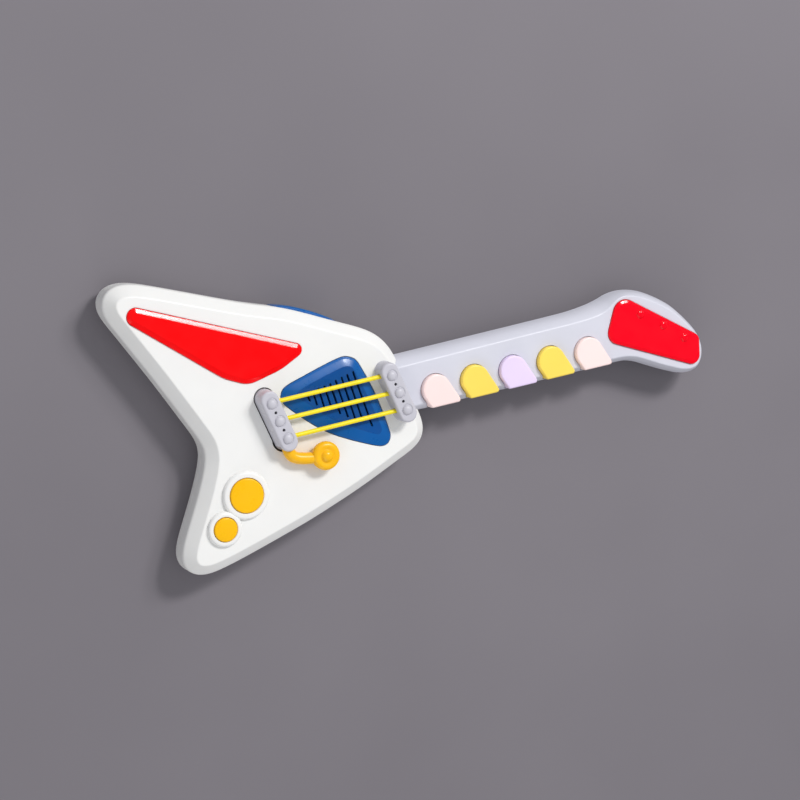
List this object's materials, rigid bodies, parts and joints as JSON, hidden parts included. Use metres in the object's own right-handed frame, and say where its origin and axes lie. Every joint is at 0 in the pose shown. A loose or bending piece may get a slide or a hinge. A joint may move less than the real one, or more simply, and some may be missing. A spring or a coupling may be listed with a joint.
{
  "type": "toy electric guitar",
  "caption": "Battery toy guitar with a swept two-horned body, sprung keys along the neck, plucked cord strings, round push buttons, a tremolo lever and a slotted speaker grille.",
  "frame": {"origin": "on the flat back of the body, under the middle string", "axes": "+X along the neck from the body to the headstock, +Y towards the side with the red horn panel, +Z out of the front face; the toy lies on its back with z = 0 on the table"},
  "size_m": [0.4275, 0.2005, 0.0457],
  "materials": {
    "shell_white": "satin injection-moulded ABS",
    "trim_blue": "satin moulded ABS",
    "panel_red": "high gloss moulded ABS",
    "neck_grey": "fine satin moulded ABS",
    "hardware_grey": "fine satin moulded ABS",
    "button_yellow": "gloss moulded ABS",
    "key_pink": "satin moulded ABS",
    "key_yellow": "satin moulded ABS",
    "key_lilac": "satin moulded ABS",
    "silicone": "translucent white silicone rubber",
    "string_cord": "soft moulded elastomer cord",
    "screw_steel": "zinc-plated steel",
    "spring_steel": "nickel-plated spring steel",
    "speaker_steel": "pressed steel, dull plated",
    "magnet_dark": "ferrite and steel",
    "speaker_paper": "pressed black paper pulp",
    "board_green": "green solder mask on glass laminate",
    "chip_black": "black epoxy drop",
    "ribbon_grey": "grey PVC ribbon cable",
    "wire_red": "red PVC wire",
    "cell_wrap": "shrink-wrapped battery cell",
    "switch_black": "black moulded nylon"
  },
  "bodies": {
    "root-body": {"body_front_shell": "shell_white", "body_back_shell": "shell_white", "button_bezel": "shell_white", "side_trim": "trim_blue", "speaker_grille": "trim_blue", "horn_panel": "panel_red", "headstock_panel": "panel_red", "neck_front_shell": "neck_grey", "neck_back_shell": "neck_grey", "bridge_cover": "hardware_grey", "nut_cover": "hardware_grey", "bridge_base": "hardware_grey", "nut_base": "hardware_grey", "key_dome_1": "silicone", "key_dome_2": "silicone", "key_dome_3": "silicone", "key_dome_4": "silicone", "key_dome_5": "silicone", "large_button_dome": "silicone", "small_button_dome": "silicone", "body_screws": "screw_steel", "bridge_screws": "screw_steel", "nut_screws": "screw_steel", "neck_screws": "screw_steel", "tremolo_screw": "screw_steel", "tremolo_spring": "spring_steel", "battery_springs": "spring_steel", "battery_plates": "spring_steel", "strum_switches": "spring_steel", "speaker_basket": "speaker_steel", "speaker_magnet": "magnet_dark", "speaker_cone": "speaker_paper", "main_board": "board_green", "button_board": "board_green", "key_board": "board_green", "sound_chip": "chip_black", "key_cable": "ribbon_grey", "speaker_wires": "wire_red", "battery_wires": "wire_red", "batteries": "cell_wrap", "power_switch_body": "switch_black", "bridge_seal": "switch_black"},
    "key-1-body": {"key_1": "key_pink"},
    "key-2-body": {"key_2": "key_yellow"},
    "key-3-body": {"key_3": "key_lilac"},
    "key-4-body": {"key_4": "key_yellow"},
    "key-5-body": {"key_5": "key_pink"},
    "large-button-body": {"large_button": "button_yellow"},
    "small-button-body": {"small_button": "button_yellow"},
    "tremolo-body": {"tremolo_lever": "button_yellow"},
    "string-1-body": {"string_1": "string_cord"},
    "string-2-body": {"string_2": "string_cord"},
    "string-3-body": {"string_3": "string_cord"},
    "power-switch-body": {"power_switch_knob": "switch_black"},
    "battery-door-body": {"battery_door": "shell_white", "battery_door_screw": "screw_steel"}
  },
  "joints": [
    {"name": "key_1_press", "type": "slide", "parent": "root-body", "child": "key-1-body", "axis": [0, 0, -1], "range_m": [0, 0.002], "stiffness_N_per_m": 600, "springref_m": -0.0005, "deforming": ["key_dome_1"]},
    {"name": "key_2_press", "type": "slide", "parent": "root-body", "child": "key-2-body", "axis": [0, 0, -1], "range_m": [0, 0.002], "stiffness_N_per_m": 600, "springref_m": -0.0005, "deforming": ["key_dome_2"]},
    {"name": "key_3_press", "type": "slide", "parent": "root-body", "child": "key-3-body", "axis": [0, 0, -1], "range_m": [0, 0.002], "stiffness_N_per_m": 600, "springref_m": -0.0005, "deforming": ["key_dome_3"]},
    {"name": "key_4_press", "type": "slide", "parent": "root-body", "child": "key-4-body", "axis": [0, 0, -1], "range_m": [0, 0.002], "stiffness_N_per_m": 600, "springref_m": -0.0005, "deforming": ["key_dome_4"]},
    {"name": "key_5_press", "type": "slide", "parent": "root-body", "child": "key-5-body", "axis": [0, 0, -1], "range_m": [0, 0.002], "stiffness_N_per_m": 600, "springref_m": -0.0005, "deforming": ["key_dome_5"]},
    {"name": "large_button_press", "type": "slide", "parent": "root-body", "child": "large-button-body", "axis": [0, 0, -1], "range_m": [0, 0.002], "stiffness_N_per_m": 600, "springref_m": -0.0005, "deforming": ["large_button_dome"]},
    {"name": "small_button_press", "type": "slide", "parent": "root-body", "child": "small-button-body", "axis": [0, 0, -1], "range_m": [0, 0.002], "stiffness_N_per_m": 600, "springref_m": -0.0005, "deforming": ["small_button_dome"]},
    {"name": "tremolo_swing", "type": "hinge", "parent": "root-body", "child": "tremolo-body", "pos_m": [-0.01496, -0.01514, 0.037], "axis": [0, 0, 1], "range_deg": [-22, 8], "stiffness_Nm_per_rad": 0.02},
    {"name": "string_1_pluck", "type": "slide", "parent": "root-body", "child": "string-1-body", "axis": [0, 1, 0], "range_m": [-0.002, 0.002], "stiffness_N_per_m": 400},
    {"name": "string_2_pluck", "type": "slide", "parent": "root-body", "child": "string-2-body", "axis": [0, 1, 0], "range_m": [-0.002, 0.002], "stiffness_N_per_m": 400},
    {"name": "string_3_pluck", "type": "slide", "parent": "root-body", "child": "string-3-body", "axis": [0, 1, 0], "range_m": [-0.002, 0.002], "stiffness_N_per_m": 400},
    {"name": "power_switch_slide", "type": "slide", "parent": "root-body", "child": "power-switch-body", "axis": [1, 0, 0], "range_m": [0, 0.004]},
    {"name": "battery_door_open", "type": "hinge", "parent": "root-body", "child": "battery-door-body", "pos_m": [-0.0593, 0.033, 0], "axis": [0, 1, 0], "range_deg": [0, 40]}
  ]
}
